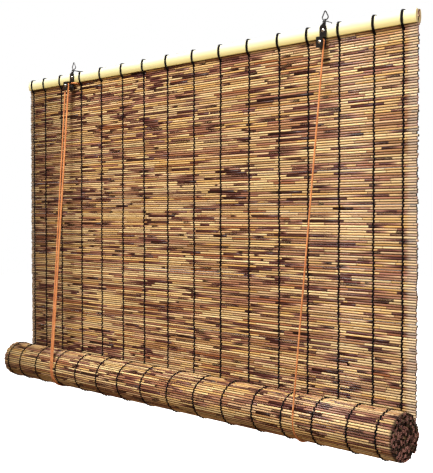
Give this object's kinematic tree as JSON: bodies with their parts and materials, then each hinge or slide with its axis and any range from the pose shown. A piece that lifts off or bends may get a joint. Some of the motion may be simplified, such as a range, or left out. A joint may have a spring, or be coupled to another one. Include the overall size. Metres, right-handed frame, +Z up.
{
  "type": "reed roll-up blind",
  "caption": "Roll-up window blind of dark-stringed reeds under a split bamboo head, half rolled up on lift cords that run over pulleys below wire hanging loops.",
  "frame": {"origin": "halfway between the two hanging loops, at the height where a hook bears on the inside of their tips", "axes": "+X along the blind's width to its right as seen from the front, -Y towards the viewer in front, +Z up"},
  "size_m": [1.21, 0.1094, 0.8343],
  "materials": {
    "split_bamboo": "pale yellow split bamboo, satin skin",
    "reed": "golden straw reed with dark brown sheath patches",
    "binding_string": "black twisted string",
    "black_steel": "black japanned sheet and wire",
    "rivet_steel": "bright rivet",
    "tie_wire": "dark annealed wire",
    "wheel_plastic": "black moulded plastic",
    "lift_cord": "tan twisted cord"
  },
  "bodies": {
    "head": {"head_slat_front": "split_bamboo", "head_slat_back": "split_bamboo", "hanging_mat": "reed", "binding_string_01": "binding_string", "binding_string_02": "binding_string", "binding_string_03": "binding_string", "binding_string_04": "binding_string", "binding_string_05": "binding_string", "binding_string_06": "binding_string", "binding_string_07": "binding_string", "binding_string_08": "binding_string", "binding_string_09": "binding_string", "binding_string_10": "binding_string", "binding_string_11": "binding_string", "binding_string_12": "binding_string", "binding_string_13": "binding_string", "binding_string_14": "binding_string", "binding_string_15": "binding_string", "binding_string_16": "binding_string", "hanger_loop_left": "black_steel", "hanger_strap_left": "black_steel", "pulley_housing_left": "black_steel", "strap_rivet_left": "rivet_steel", "axle_rivet_left": "rivet_steel", "tie_wire_left": "tie_wire", "hanger_loop_right": "black_steel", "hanger_strap_right": "black_steel", "pulley_housing_right": "black_steel", "strap_rivet_right": "rivet_steel", "axle_rivet_right": "rivet_steel", "tie_wire_right": "tie_wire", "cord_left_front": "lift_cord", "right_tail_front": "lift_cord", "left_tail_front": "lift_cord", "cord_right_front": "lift_cord", "cord_left_back": "lift_cord", "right_tail_back": "lift_cord", "left_tail_back": "lift_cord", "cord_right_back": "lift_cord", "cord_left_over_wheel": "lift_cord", "cord_right_crossing": "lift_cord", "knot_left": "lift_cord", "knot_right": "lift_cord"},
    "carriage": {"cord_left_bight": "lift_cord", "right_tail_bight": "lift_cord", "left_tail_bight": "lift_cord", "cord_right_bight": "lift_cord"},
    "roll": {"rolled_mat": "reed", "roll_strings": "binding_string"},
    "left_front_wheel": {"pulley_wheel_left_front": "wheel_plastic"},
    "left_back_wheel": {"pulley_wheel_left_back": "wheel_plastic"},
    "right_wheel": {"pulley_wheel_right": "wheel_plastic"}
  },
  "joints": [
    {"name": "roll_lift", "type": "slide", "parent": "head", "child": "carriage", "axis": [0, 0, 1], "range_m": [0, 0.6], "deforming": ["hanging_mat", "binding_string_01", "binding_string_02", "binding_string_03", "binding_string_04", "binding_string_05", "binding_string_06", "binding_string_07", "binding_string_08", "binding_string_09", "binding_string_10", "binding_string_11", "binding_string_12", "binding_string_13", "binding_string_14", "binding_string_15", "binding_string_16", "cord_left_front", "right_tail_front", "left_tail_front", "cord_right_front", "cord_left_back", "right_tail_back", "left_tail_back", "cord_right_back"]},
    {"name": "roll_turn", "type": "hinge", "parent": "carriage", "child": "roll", "pos_m": [0, -0.0393, -0.7818], "axis": [-1, 0, 0], "range_deg": [0, 720]},
    {"name": "left_front_wheel_turn", "type": "hinge", "parent": "head", "child": "left_front_wheel", "pos_m": [-0.4, -0.0223, -0.0608], "axis": [0, 1, 0], "continuous": true},
    {"name": "left_back_wheel_turn", "type": "hinge", "parent": "head", "child": "left_back_wheel", "pos_m": [-0.4, -0.0136, -0.0608], "axis": [0, 1, 0], "continuous": true},
    {"name": "right_wheel_turn", "type": "hinge", "parent": "head", "child": "right_wheel", "pos_m": [0.4, -0.0136, -0.0608], "axis": [0, 1, 0], "continuous": true}
  ],
  "couplings": [
    {"joint": "roll_turn", "follows": "roll_lift", "rad_per_m": 20.944},
    {"joint": "left_front_wheel_turn", "follows": "roll_lift", "rad_per_m": 294.12},
    {"joint": "left_back_wheel_turn", "follows": "roll_lift", "rad_per_m": -294.12},
    {"joint": "right_wheel_turn", "follows": "roll_lift", "rad_per_m": -294.12}
  ]
}
